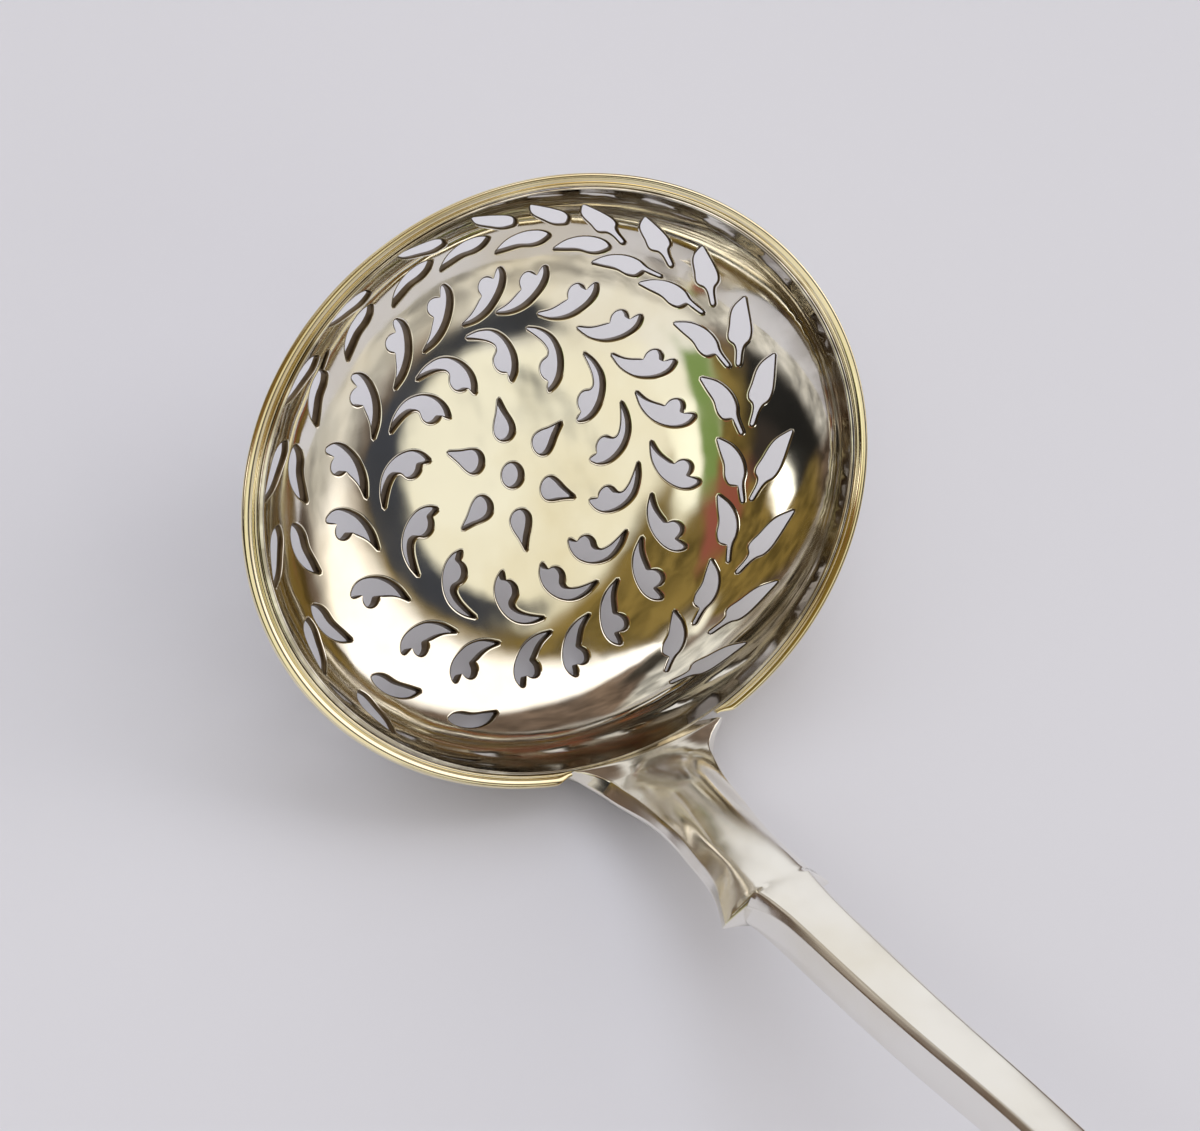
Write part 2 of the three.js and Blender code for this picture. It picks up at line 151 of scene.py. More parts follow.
def section(s, offset):
    """Radius and height at a distance from the centre and an offset out through the sheet."""
    def at(d):
        d = np.clip(d, 0, LIP_DISTANCE)
        return np.interp(d, PROFILE[0], PROFILE[1]), np.interp(d, PROFILE[0], PROFILE[2])

    (r, z), (r0, z0), (r1, z1) = at(s), at(s - SLOPE_STEP), at(s + SLOPE_STEP)
    run = np.hypot(r1 - r0, z1 - z0) + 1e-9
    nr = (z1 - z0) / run * smoothstep(s, 0, 0.5)
    nz = -(r1 - r0) / run
    return r + nr * offset, z + nz * offset


def place(r, angle, z):
    """The mouth is an oval that is narrower along the handle, while the bottom is round."""
    squeeze = 1 - (1 - OVAL_RATIO) * np.minimum(r / CURVE_RADIUS, 1) ** 4
    return np.stack([r * np.cos(angle) * squeeze, r * np.sin(angle), z * np.ones_like(angle)], -1)


def sheet_points(chart, offset):
    """Chart points on the sheet, moved out through it by an offset."""
    s = np.hypot(chart[:, 0], chart[:, 1])
    r, z = section(s, offset)
    return place(r, np.arctan2(chart[:, 1], chart[:, 0]), z)


def sheet_normals(chart, offset):
    """The way out through the sheet at chart points."""
    east, north = [NORMAL_STEP, 0], [0, NORMAL_STEP]
    across = sheet_points(chart + east, offset) - sheet_points(chart - east, offset)
    along = sheet_points(chart + north, offset) - sheet_points(chart - north, offset)
    n = np.cross(along, across)
    return n / np.linalg.norm(n, axis=1, keepdims=True)


print("sheet", SHEET, "mm at the bottom,", LIP_SHEET, "mm at the lip")

# %% [markdown]
# The piercing is sawn by hand in five rings: drops, two rings of comma leaves and two of spears. A leaf
# could be drawn 77 times, but the rings repeat it, so each outline is drawn once and set round the
# bowl. Its first number is clockwise and its second outward, in millimetres.

# %% Leaf outlines
INNER_COMMA = [
    (-3.3, 1.6), (-2.3, 1.5), (-1.4, 1.3), (-0.75, 0.9), (-0.65, 0.5), (-0.95, -0.05), (-0.85, -0.6),
    (-0.4, -0.95), (0.1, -1.0), (0.35, -1.75), (0.75, -1.1), (0.85, -0.3), (0.55, 0.6), (-0.1, 1.4),
    (-1.0, 1.9), (-2.2, 1.95),
]
OUTER_COMMA = [
    (-2.3, -2.35), (-1.0, -2.2), (0.1, -1.65), (0.8, -0.9), (1.3, 0.1), (1.35, 0.9), (1.05, 1.55),
    (0.85, 1.55), (0.5, 0.65), (0.15, 0.85), (-0.35, 0.9), (-0.65, 0.6), (-0.7, 0.05), (-0.4, -0.45),
    (-1.3, -1.65),
]
LOW_SPEAR = [
    (-2.1, -1.15), (-1.1, -0.85), (0, -0.5), (1.0, -0.45), (1.6, -0.2), (1.75, 0.5), (3.2, 0.7),
    (3.2, 0.9), (1.6, 0.8), (0.9, 0.95), (-0.3, 0.75), (-1.4, 0.0),
]
HIGH_SPEAR = [
    (-2.2, 1.1), (-1.35, -0.15), (0.1, -1.05), (1.15, -1.6), (1.7, -1.4), (3.4, -2.15), (3.5, -1.95),
    (2.0, -0.85), (1.8, -0.4), (1.2, 0.05), (0.3, 0.4), (-0.9, 0.75),
]
SHORT_LOW_SPEAR = [
    (-2.1, -1.15), (-1.1, -0.85), (0, -0.5), (1.0, -0.45), (1.6, -0.2), (2.1, 0.45), (1.7, 0.75),
    (0.9, 0.95), (-0.3, 0.75), (-1.4, 0.0),
]
SHORT_HIGH_SPEAR = [
    (-2.2, 1.1), (-1.35, -0.15), (0.1, -1.0), (1.15, -1.4), (2.0, -1.3), (1.8, -0.5), (1.2, 0.05),
    (0.3, 0.4), (-0.9, 0.75),
]
DROP = [
    (0, 1.75), (-0.36, 0.7), (-0.72, -0.1), (-0.8, -0.65), (-0.5, -1.1), (0, -1.25), (0.5, -1.1),
    (0.8, -0.65), (0.72, -0.1), (0.36, 0.7),
]
CENTRE = [(0.85 * math.sin(a), 0.85 * math.cos(a)) for a in np.arange(10) * 2 * math.pi / 10]

# Each leaf's angle from the handle, its distance from the centre and, for two, its own turn
LEAVES = [
    (CENTRE, [(0, 0)]),
    (DROP, [(a, 3.8) for a in range(0, 360, 60)]),
    (INNER_COMMA, [
        (144.5, 8.3), (116, 8.3), (89.5, 8.3), (64, 8.5), (36, 8.4), (12, 8.5), (-16, 8.5),
        (-47.5, 8.3), (-79, 8.1), (-109, 8.4), (-138, 8.2), (-161, 8.2), (172, 8.3),
    ]),
    (OUTER_COMMA, [
        (131, 13.8), (114, 13.9), (97, 13.9), (78, 13.9), (59, 13.9), (43, 14), (25, 13.9),
        (8.5, 14.2), (-8, 13.9), (-29, 14.1), (-46.5, 14), (-68, 14.1), (-89, 14), (-107, 14),
        (-127, 13.7), (-146, 13.5), (-163, 13.5), (179, 13.5), (165, 13.7), (148, 13.7),
    ]),
    (LOW_SPEAR, [
        (142, 17.6), (128, 18.1), (113, 17.9), (96, 17.7), (79, 17.9), (64, 18), (47, 18.4, 8),
        (32, 18.4, -12), (-123, 17.9),
    ]),
    (SHORT_LOW_SPEAR, [
        (-26.5, 18.6), (-48, 18.5), (-70, 18.9), (-88, 18.4), (-105, 18.3), (-140.5, 17.4),
        (-158.5, 17.15), (-174, 17.4), (170, 17.4), (154, 17.8),
    ]),
    (HIGH_SPEAR, [
        (156, 21), (143, 21.6), (129, 21.9), (113, 21.4), (98, 21.3), (80, 21.3), (62, 21.8),
        (46, 22.4), (31, 23),
    ]),
    (SHORT_HIGH_SPEAR, [
        (-50, 22.4), (-69, 21.7), (-89.5, 21.8), (-106.5, 21.2), (-125, 20.9), (-142.5, 20.3),
        (-163, 20), (179.5, 20.2), (167, 20.6),
    ]),
]
print("openings", sum(len(row[1]) for row in LEAVES))


# %% [markdown]
# A saw leaves soft sides and crisp tips, so an outline bends smoothly through its points and keeps a
# corner only where it turns sharply. A curve object would smooth every point alike.


# %% Outlines in the chart
CORNER = math.radians(52)
OUTLINE_STEP = 0.13


def soft_outline(points):
    p = np.array(points, float)
    lead = np.roll(p, -1, 0) - p
    trail = p - np.roll(p, 1, 0)
    turn = np.abs(np.angle((lead[:, 0] + 1j * lead[:, 1]) / (trail[:, 0] + 1j * trail[:, 1])))
    sharp = turn > CORNER
    mean = lead / np.linalg.norm(lead, axis=1)[:, None] + trail / np.linalg.norm(trail, axis=1)[:, None]
    out = []
    for i in range(len(p)):
        j = (i + 1) % len(p)
        size = np.linalg.norm(lead[i])
        start = lead[i] if sharp[i] else mean[i] / np.linalg.norm(mean[i]) * size
        end = lead[i] if sharp[j] else mean[j] / np.linalg.norm(mean[j]) * size
        count = max(2, round(size / OUTLINE_STEP))
        for t in np.arange(count) / count:
            a, b = (1 + 2 * t) * (1 - t) ** 2, t * (1 - t) ** 2
            c, d = t * t * (3 - 2 * t), t * t * (t - 1)
            out.append(a * p[i] + b * start + c * p[j] + d * end)
    out = np.array(out)
    for _ in range(2):
        out = 0.25 * np.roll(out, 1, 0) + 0.5 * out + 0.25 * np.roll(out, -1, 0)
    return out


def in_chart(outline, degrees, distance, own_turn=0):
    """A leaf's outline set at its place, running counter-clockwise."""
    twist, turn = math.radians(own_turn), math.radians(degrees)
    side = outline[:, 0] * math.cos(twist) + outline[:, 1] * math.sin(twist)
    out = outline[:, 1] * math.cos(twist) - outline[:, 0] * math.sin(twist) + distance
    x = out * math.cos(turn) + side * math.sin(turn)
    y = out * math.sin(turn) - side * math.cos(turn)
    loop = np.stack([x, y], -1)
    area = (x * np.roll(y, -1) - y * np.roll(x, -1)).sum()
    return loop if area > 0 else loop[::-1]


LOOPS = [in_chart(soft_outline(outline), *leaf) for outline, row in LEAVES for leaf in row]
print("loops", len(LOOPS), "points", sum(len(loop) for loop in LOOPS))

# %% [markdown]
# Years of polishing round the edge of every opening. The rounding starts on a second, wider outline. A
# bevel modifier would collide with itself in the narrow tips, so the wider outline is worked out here,
# and it holds back wherever it would run into itself or a neighbour.


# %% Wider outlines for the eased edges
EDGE_WIDTH = 0.24
EDGE_DEPTH = 0.17
# how much of the room to itself and to its neighbours an outline may take
CURVE_SHARE = 0.6
GAP_SHARE = 0.4
NO_LIMIT = 1e9


def widened(loop, amount, others):
    """The loop moved outward, less where it would run into itself or another."""
    ahead = np.roll(loop, -1, 0) - np.roll(loop, 1, 0)
    normal = np.stack([ahead[:, 1], -ahead[:, 0]], -1)
    normal /= np.linalg.norm(normal, axis=1)[:, None]
    gap = loop[None] - loop[:, None]
    facing = (gap * normal[:, None]).sum(2)
    with np.errstate(divide="ignore", invalid="ignore"):
        ball = np.where(facing > 1e-6, (gap**2).sum(2) / (2 * facing), NO_LIMIT)
    apart = np.sqrt(((others[None] - loop[:, None]) ** 2).sum(2)).min(1)
    reach = np.minimum(amount, np.minimum(CURVE_SHARE * ball.min(1), GAP_SHARE * apart))
    for _ in range(2):
        reach = np.minimum(reach, (np.roll(reach, 1) + reach + np.roll(reach, -1)) / 3)
    return loop + normal * reach[:, None]


EVERY_POINT = np.concatenate(LOOPS)
LOOP_OF = np.repeat(np.arange(len(LOOPS)), [len(loop) for loop in LOOPS])
HOLES = [widened(loop, EDGE_WIDTH, EVERY_POINT[LOOP_OF != k]) for k, loop in enumerate(LOOPS)]
print("wider outlines", len(HOLES))

# %% [markdown]
# Every piece becomes a mesh in the same way, so one function turns points and faces into an object. It
# takes shading directions where they are known, and marks sharp edges by angle where they are not.


# %% Meshes from arrays
def add_mesh(name, points, faces, normals=None, sharp=None, finishes=None):
    """An object in the scene from points in the bowl's frame; zero normals are left to the mesh."""
    mesh = bpy.data.meshes.new(name)
    mesh.from_pydata(on_table(points).tolist(), [], faces)
    if finishes is not None:
        mesh.polygons.foreach_set("material_index", finishes)
    mesh.validate()
    mesh.polygons.foreach_set("use_smooth", [True] * len(mesh.polygons))
    if sharp is not None:
        mesh.set_sharp_from_angle(angle=math.radians(sharp))
    if normals is not None:
        mesh.normals_split_custom_set_from_vertices(tipped(normals).tolist())
    piece = bpy.data.objects.new(name, mesh)
    bpy.context.scene.collection.objects.link(piece)
    print(name, len(mesh.vertices), "points", len(mesh.polygons), "faces")
    return piece


def strip(a, b, count):
    """Faces between two rings of points that start at a and b."""
    return [(a + i, a + (i + 1) % count, b + (i + 1) % count, b + i) for i in range(count)]


# %% [markdown]
# The chart is filled with triangles between the openings. An even grid of points could be trimmed by
# hand near each leaf, but Blender's own triangulation keeps every outline as an edge, so the grid
# only has to stay clear of the outlines. Triangles inside an opening are dropped.


# %% Triangles between the openings
# the spacing in a row, and the distance between rows as a share of it
GRID = 0.6
ROW = 0.866
LIP_CLEARANCE = 0.5
BOX_MARGIN = 0.3
OUTLINE_CLEARANCE = 0.26
SAME_POINT = 1e-6


def in_outline(points, outline):
    """Which of the points lie inside a closed outline."""
    a, b = outline, np.roll(outline, -1, 0)
    crosses = (a[None, :, 1] > points[:, None, 1]) != (b[None, :, 1] > points[:, None, 1])
    with np.errstate(divide="ignore", invalid="ignore"):
        share = (points[:, None, 1] - a[None, :, 1]) / (b - a)[None, :, 1]
        x = a[None, :, 0] + share * (b - a)[None, :, 0]
    return (crosses & (x > points[:, None, 0])).sum(1) % 2 == 1


def grid_points(holes, rim):
    """Points of an even grid that are inside the rim and clear of every opening."""
    rows = int(2 * rim[:, 0].max() / (GRID * ROW)) + 2
    steps = range(-rows // 2, rows // 2 + 1)
    grid = np.array([((i + 0.5 * (j % 2)) * GRID, j * GRID * ROW) for j in steps for i in steps])
    grid = grid[np.hypot(grid[:, 0], grid[:, 1]) < LIP_DISTANCE - LIP_CLEARANCE]
    keep = np.ones(len(grid), bool)
    for hole in holes:
        boxed = (grid > hole.min(0) - BOX_MARGIN) & (grid < hole.max(0) + BOX_MARGIN)
        near = np.where(keep & boxed.all(1))[0]
        away = np.sqrt(((grid[near][:, None] - hole[None]) ** 2).sum(2)).min(1)
        keep[near[in_outline(grid[near], hole) | (away < OUTLINE_CLEARANCE)]] = False
    return grid[keep]


def chart_triangles(holes, rim):
    """Points and triangles that fill the chart between the openings and the rim."""
    grid = grid_points(holes, rim)
    points = np.concatenate([*holes, rim, grid])
    owner = np.repeat(np.arange(len(holes)), [len(hole) for hole in holes])
    owner = np.concatenate([owner, np.full(len(rim) + len(grid), -1)])
    edges, start = [], 0
    for ring in [*holes, rim]:
        edges += [(start + i, start + (i + 1) % len(ring)) for i in range(len(ring))]
        start += len(ring)
    result = delaunay_2d_cdt([Vector(p) for p in points], edges, [], 0, SAME_POINT)
    assert len(result[0]) == len(points), "outlines cross"
    faces = []
    for face in result[2]:
        owners = set(owner[face])
        lone = len(owners) == 1 and -1 not in owners
        if not (lone and in_outline(points[face].mean(0)[None], holes[owner[face[0]]])[0]):
            faces.append(tuple(face))
    return points, faces


RIM_POINTS = 320
RIM_TURN = np.linspace(0, 2 * np.pi, RIM_POINTS, endpoint=False)
RIM_DISTANCE = LIP_DISTANCE - 0.13
RIM = np.stack([RIM_DISTANCE * np.cos(RIM_TURN), RIM_DISTANCE * np.sin(RIM_TURN)], -1)
CHART, TRIANGLES = chart_triangles(HOLES, RIM)
print("chart", len(CHART), "points", len(TRIANGLES), "triangles")

# %% [markdown]
# The same triangles make the inside and, turned over, the outside. Each opening gets a wall of rings:
# rounded at the inside, straight through the sheet, and rounded at the outside. A solidify modifier
# would give square edges. The lip is closed with a small rounded curve.


# %% The pierced bowl
# each ring's angle round the eased edge, and whether it belongs to the outside
WALL_RINGS = [(25, False), (50, False), (72, False), (90, False), (90, True), (60, True), (30, True)]
# rings steeper than this take the dark finish: tarnish on the sawn walls, and painted shade on the steeper
# part of each eased edge
DARK_FINISH_FROM = 45
LIP_CURVE = [
    (0.02, -0.05), (0.07, -0.01), (0.15, 0.0),
    (LIP_SHEET - 0.15, 0.0), (LIP_SHEET - 0.07, -0.01), (LIP_SHEET - 0.02, -0.05),
]


def wall_ring(loop, hole, angle, outside):
    """One ring of an opening's wall, at an angle round its eased edge."""
    depth = thickness(np.hypot(loop[:, 0], loop[:, 1]))
    spread = 1 - math.sin(math.radians(angle))
    sunk = EDGE_DEPTH * (1 - math.cos(math.radians(angle)))
    return sheet_points(loop + (hole - loop) * spread, depth - sunk if outside else sunk)


def make_bowl():
    count = len(CHART)
    depth = thickness(np.hypot(CHART[:, 0], CHART[:, 1]))
    points = [sheet_points(CHART, 0), sheet_points(CHART, depth)]
    normals = [-sheet_normals(CHART, 0), sheet_normals(CHART, depth)]
    faces = TRIANGLES + [(a + count, c + count, b + count) for a, b, c in TRIANGLES]
    size, start, sawn = 2 * count, 0, []
    for loop, hole in zip(LOOPS, HOLES):
        n, last = len(loop), start
        for angle, outside in WALL_RINGS:
            points.append(wall_ring(loop, hole, angle, outside))
            faces += strip(last, size, n)
            # the dark finish: the sawn wall, and painted shade on the steep rings of the eased edges
            if angle > DARK_FINISH_FROM:
                sawn += range(len(faces) - n, len(faces))
            last, size = size, size + n
        faces += strip(last, start + count, n)
        start += n
    last = start
    for out, height in LIP_CURVE:
        points.append(place(LIP_RADIUS + out, RIM_TURN, height))
        faces += [face[::-1] for face in strip(last, size, RIM_POINTS)]
        last, size = size, size + RIM_POINTS
    faces += [face[::-1] for face in strip(last, start + count, RIM_POINTS)]
    normals.append(np.zeros((size - 2 * count, 3)))
    finishes = np.zeros(len(faces), int)
    finishes[sawn] = 1
    return add_mesh("pierced_bowl", np.concatenate(points), faces, np.concatenate(normals), finishes=finishes)


bowl = make_bowl()

# %% [markdown]
# The rim wire is drawn through a shaped plate and soldered round the lip, to stiffen it. It has a fine
# bead, a groove and a soft rounded band. A curve with a bevel profile would twist on the oval, so its
# section is carried round the mouth point by point. It thins out where it meets the wings of the stem.


# %% The rim wire
WIRE_RADIUS = 25.0
WIRE_HEIGHT = 0.86
WIRE_START = 20.1
WIRE_STOP = 12.9
WIRE_OVERRUN = 1.5
WIRE_FADE = 3.2
WIRE_END_SHARE = 0.45
WIRE_MIDDLE = -0.35
WIRE_SECTIONS = 480
CORNER_POINTS = 4
WIRE_INSIDE = LIP_RADIUS + LIP_SHEET + 0.03
WIRE_OUTLINE = [
    (WIRE_INSIDE, -WIRE_HEIGHT), (WIRE_INSIDE, -0.08), (WIRE_INSIDE + 0.08, 0.04),
    (WIRE_INSIDE + 0.22, 0.04), (WIRE_INSIDE + 0.3, -0.1), (WIRE_INSIDE + 0.4, 0.05),
    (WIRE_INSIDE + 0.72, 0.15), (WIRE_RADIUS - 0.1, 0.13), (WIRE_RADIUS, -0.02),
    (WIRE_RADIUS - 0.12, -0.26), (WIRE_RADIUS - 0.4, -0.54), (WIRE_RADIUS - 0.68, -0.78),
    (WIRE_RADIUS - 0.84, -WIRE_HEIGHT), (WIRE_INSIDE, -WIRE_HEIGHT),
]


def rounded(points, radius):
    """An open line with every inner corner turned into a short curve."""
    p = np.array(points, float)
    out = [p[0]]
    for i in range(1, len(p) - 1):
        back, on = p[i - 1] - p[i], p[i + 1] - p[i]
        reach = min(radius, 0.45 * np.linalg.norm(back), 0.45 * np.linalg.norm(on))
        a = p[i] + back / np.linalg.norm(back) * reach
        b = p[i] + on / np.linalg.norm(on) * reach
        for t in np.linspace(0, 1, CORNER_POINTS):
            out.append((1 - t) ** 2 * a + 2 * t * (1 - t) * p[i] + t * t * b)
    out.append(p[-1])
    return np.array(out)


def capped_tube(loops, turned=False):
    """Faces of a tube through equal loops, with both ends closed."""
    n, last = len(loops[0]), len(loops) - 1
    faces = []
    for i in range(last):
        faces += strip(i * n, (i + 1) * n, n)
    faces += [tuple(range(n))[::-1], tuple(range(last * n, (last + 1) * n))]
    return [face[::-1] for face in faces] if turned else faces


def make_wire():
    outline = rounded(WIRE_OUTLINE, 0.16)[:-1]
    first, last = WIRE_START - WIRE_OVERRUN, 360 - WIRE_STOP + WIRE_OVERRUN
    loops = []
    for turn in np.linspace(first, last, WIRE_SECTIONS):
        full = smoothstep(min(turn - first, last - turn), 0, WIRE_FADE)
        full = WIRE_END_SHARE + (1 - WIRE_END_SHARE) * full
        r = WIRE_INSIDE + (outline[:, 0] - WIRE_INSIDE) * full
        z = WIRE_MIDDLE + (outline[:, 1] - WIRE_MIDDLE) * full
        loops.append(place(r, np.full(len(outline), math.radians(turn)), z))
    return add_mesh("moulded_rim_wire", np.concatenate(loops), capped_tube(loops), sharp=50)


wire = make_wire()

# %% [markdown]
# The stem is forged from one bar: a root that takes the back of the bowl, two wings along the mouth,
# two pointed ears, a bevelled handle and the fiddle end. Its form changes all the way, so it is given
# by stations along its length, and the stations are joined smoothly. Three lengths do not blend into
# each other: root and ears, handle, and fiddle end. Each row is the distance along, half the width, how
# far the front falls to its edge, the height of the side, the thickness and half the flat of the back.

# %% Stations of the stem
STEM_LENGTH = 112.0
STATIONS = [
    [
        (-9.0, 1.2, 0.02, 0.05, 0.4, 0.4), (-7.6, 2.5, 0.2, 0.4, 1.3, 0.9),
        (-5.4, 3.6, 0.5, 0.8, 2.3, 1.2), (-3.2, 4.5, 0.5, 0.9, 2.8, 1.5),
        (-1.4, 5.5, 0.4, 0.9, 3.1, 1.8), (-0.6, 6.0, 0.3, 0.8, 3.2, 2.1),
        (0.0, 6.6, 0.1, 0.9, 3.3, 2.4), (0.25, 6.0, 0.11, 1.15, 3.3, 2.4),
        (0.6, 5.3, 0.13, 1.35, 3.3, 2.35), (1.2, 4.5, 0.16, 1.45, 3.3, 2.3),
        (2.2, 4.1, 0.24, 1.4, 3.3, 2.2), (3.5, 3.66, 0.36, 1.3, 3.3, 2.05),
        (5.0, 3.3, 0.46, 1.15, 3.3, 1.85), (6.7, 3.1, 0.6, 1.1, 3.3, 1.7),
        (8.4, 3.0, 0.86, 1.1, 3.3, 1.75), (10.2, 3.07, 1.16, 1.05, 3.3, 1.8),
        (12.0, 3.35, 1.53, 0.9, 3.3, 1.8), (13.5, 3.85, 1.91, 0.6, 3.3, 1.8),
        (15.02, 4.48, 2.33, 0.35, 3.3, 1.8),
    ],
    [
        (15.3, 2.86, 1.2, 1.3, 3.3, 1.8), (16.8, 2.48, 0.82, 1.55, 3.3, 1.9),
        (19, 2.2, 0.58, 1.65, 3.3, 1.85), (24, 2.05, 0.45, 1.65, 3.25, 1.75),
        (32, 1.85, 0.38, 1.6, 3.15, 1.6), (40, 1.68, 0.33, 1.5, 3.0, 1.4),
        (48, 1.62, 0.3, 1.35, 2.8, 1.25), (54, 1.62, 0.27, 1.2, 2.6, 1.15),
        (60, 1.7, 0.25, 1.05, 2.4, 1.1), (66, 1.9, 0.24, 0.92, 2.2, 1.15),
        (71, 2.25, 0.24, 0.85, 2.05, 1.3), (75, 2.75, 0.24, 0.8, 1.95, 1.6),
        (77.6, 3.3, 0.24, 0.8, 1.9, 2.0),
    ],
    [
        (78.0, 5.6, 0.3, 0.7, 1.85, 3.2), (79.6, 5.15, 0.28, 0.75, 1.85, 3.2),
        (82, 5.1, 0.27, 0.78, 1.8, 3.3), (86, 5.55, 0.26, 0.8, 1.75, 3.8),
        (90, 6.2, 0.25, 0.82, 1.7, 4.4), (94, 6.95, 0.24, 0.84, 1.68, 5.1),
        (98, 7.7, 0.23, 0.85, 1.65, 5.8), (102, 8.3, 0.22, 0.86, 1.62, 6.4),
        (105, 8.45, 0.22, 0.86, 1.6, 6.6), (107.4, 8.15, 0.22, 0.85, 1.58, 6.4),
        (109.2, 7.35, 0.2, 0.85, 1.55, 5.8), (110.6, 6.2, 0.18, 0.84, 1.5, 4.9),
        (111.5, 4.9, 0.15, 0.82, 1.42, 4.0), (STEM_LENGTH, 3.6, 0.12, 0.8, 1.3, 3.0),
    ],
]
print("stations", sum(len(part) for part in STATIONS))

# %% [markdown]
# The stem rises steeply from the lip, then bends over until its end is on the table. A path curve could
# carry the sections, but its tilt is hard to hold. Here the slope is a function of the distance along,
# and adding up small steps gives the path. The stem also meets the bowl a little to one side.


# %% The path of the stem
STEM_START = (19.68, 0.02)
STEM_OFFSET = 1.7
OFFSET_REACH = 34.0
# slopes in degrees: behind the lip, at the lip, along the neck and at the handle's end
ROOT_SLOPE = 62
LIP_SLOPE = 50
NECK_SLOPE = 68.3
END_SLOPE = -15
HANDLE_BEND_START = 30
WALK = np.linspace(-10, STEM_LENGTH + 1, 4921)
STEP = WALK[1] - WALK[0]


def slope_at(along):
    """The slope of the stem's front above the plane of the mouth."""
    to_lip = (LIP_SLOPE - ROOT_SLOPE) * smoothstep(along, -1.5, 0)
    to_neck = (NECK_SLOPE - LIP_SLOPE) * smoothstep(along, 0, 2.2)
    to_end = (END_SLOPE - NECK_SLOPE) * smoothstep(along, HANDLE_BEND_START, STEM_LENGTH)
    return np.radians(ROOT_SLOPE + to_lip + to_neck + to_end)


def offset_at(along):
    """How far the middle of the stem is from the middle of the bowl."""
    return STEM_OFFSET * smoothstep(along, -1.5, 0.2) * (1 - smoothstep(along, 0, OFFSET_REACH))


WALK_X = np.cumsum(np.cos(slope_at(WALK))) * STEP
WALK_Z = np.cumsum(np.sin(slope_at(WALK))) * STEP
WALK_X += STEM_START[0] - np.interp(0, WALK, WALK_X)
WALK_Z += STEM_START[1] - np.interp(0, WALK, WALK_Z)
print("the stem's end is at", round(float(WALK_X[-1]), 1), round(float(WALK_Z[-1]), 1), "mm")

# %% [markdown]
# A file leaves a nearly flat front with a bevel on each side, and a soft fold between them. The root
# and the handle have the same front, but different sides: the root thins out to the wings and ears,
# while the handle has an upright side. Behind the lip the front swells, where the hammer left more metal.


# %% Sections of the stem
ROOT_END = 15.1
FRONT_POINTS = 22
FOLD_SOFTNESS = 0.02
SIDE_SOFTNESS = 0.2
SWELL = 0.75
SWELL_START = -1.2
SWELL_TOP = 4.6
SWELL_END = 15.2
CAMBER_SHARE = 0.16
CAMBER_MOST = 0.2
ROOT_WIDER = 0.1
NECK_WIDER = 0.32
SIDE_LESS = 0.35
SIDE_LEAST = 0.28
SIDE_SLANT = 0.62
BACK_SLANT = 0.88
ROOT_FOLD_SHARE = 0.47
ROOT_FOLD = 2.15
HANDLE_FOLD_SHARE = 0.78
HANDLE_EDGE = 0.07
HANDLE_BULGE = 0.18
WING_HALF = 6.6
LIP_SAG = 0.75
SAG_REACH = 6


def front(along, ridge, edge, crown):
    """The front from the middle out to its edge, with how far it falls."""
    middle = min(CAMBER_SHARE * crown, CAMBER_MOST)
    y = np.linspace(0, edge, FRONT_POINTS)
    past = (y - ridge) / (edge - ridge)
    bevel = (past + np.sqrt(past**2 + FOLD_SOFTNESS)) / (1 + math.sqrt(1 + FOLD_SOFTNESS))
    fall = middle * np.minimum(y / ridge, 1) ** 2
    fall += (crown - middle) * (bevel - bevel[0]) / (1 - bevel[0])
    left = min(max((SWELL_END - along) / (SWELL_END - SWELL_TOP), 0), 1)
    swell = SWELL * smoothstep(along, SWELL_START, SWELL_TOP) * left
    return y, fall - swell * (1 - (y / edge) ** 2) ** 2


def half_section(y, fall, under):
    """The front joined to the softened line round the side and the back."""
    line = rounded([(y[-2], fall[-2]), *under], SIDE_SOFTNESS)
    return np.concatenate([np.stack([y, fall], -1)[:-2], line])


def root_section(along, half, crown, side, thick, flat):
    """Half a section of the root: a slanting side that thins out to the wings and ears."""
    half += ROOT_WIDER + NECK_WIDER * smoothstep(along, 0, 1.2)
    half -= (ROOT_WIDER + NECK_WIDER) * smoothstep(along, 9, 14)
    side = max(side - SIDE_LESS, SIDE_LEAST)
    flat = min(flat, max(0.3, half - BACK_SLANT * (thick - crown - side)))
    edge, low = half - SIDE_SLANT * side, crown + side
    fold = ROOT_FOLD_SHARE * half
    ridge = fold + (ROOT_FOLD - fold) * smoothstep(along, 4, 10)
    y, fall = front(along, ridge, edge, crown)
    slant = (0.4 * edge + 0.6 * half, crown + 0.6 * side)
    back = (0.5 * (half + flat), 0.5 * (low + thick))
    return half_section(y, fall, [(edge, crown), slant, (half, low), back, (flat, thick), (0, thick)])


def handle_section(along, half, crown, side, thick, flat):
    """Half a section of the handle or its end: an upright side and a rounded back."""
    edge, low = half - HANDLE_EDGE, crown + side
    y, fall = front(along, HANDLE_FOLD_SHARE * half, edge, crown)
    back = (0.5 * (half + flat), 0.5 * (low + thick) + HANDLE_BULGE * (thick - low))
    top = (half, crown + 0.1)
    return half_section(y, fall, [(edge, crown), top, (half, low), back, (flat, thick), (0, thick)])


def stem_section(along, sizes):
    """One cross-section of the stem, at its place in the bowl's frame."""
    form = root_section if along < ROOT_END else handle_section
    right = form(along, *sizes)
    whole = np.concatenate([right, (right[1:-1] * [-1, 1])[::-1]])
    x0, z0 = np.interp(along, WALK, WALK_X), np.interp(along, WALK, WALK_Z)
    slope = slope_at(along)
    sag = LIP_SAG * np.clip(1 - along / SAG_REACH, 0, 1) ** 2 * (whole[:, 0] / WING_HALF) ** 2
    x = x0 - sag + whole[:, 1] * np.sin(slope)
    z = z0 - whole[:, 1] * np.cos(slope)
    return np.stack([x, whole[:, 0] + offset_at(along), z], -1)


print("points round a section", len(stem_section(30, (1.9, 0.4, 1.6, 3.2, 1.6))))

# %% [markdown]
# Between two stations each size follows a cubic that never overshoots, because a spline through the
# ears would ripple beside them. The stem is then one closed tube of sections.


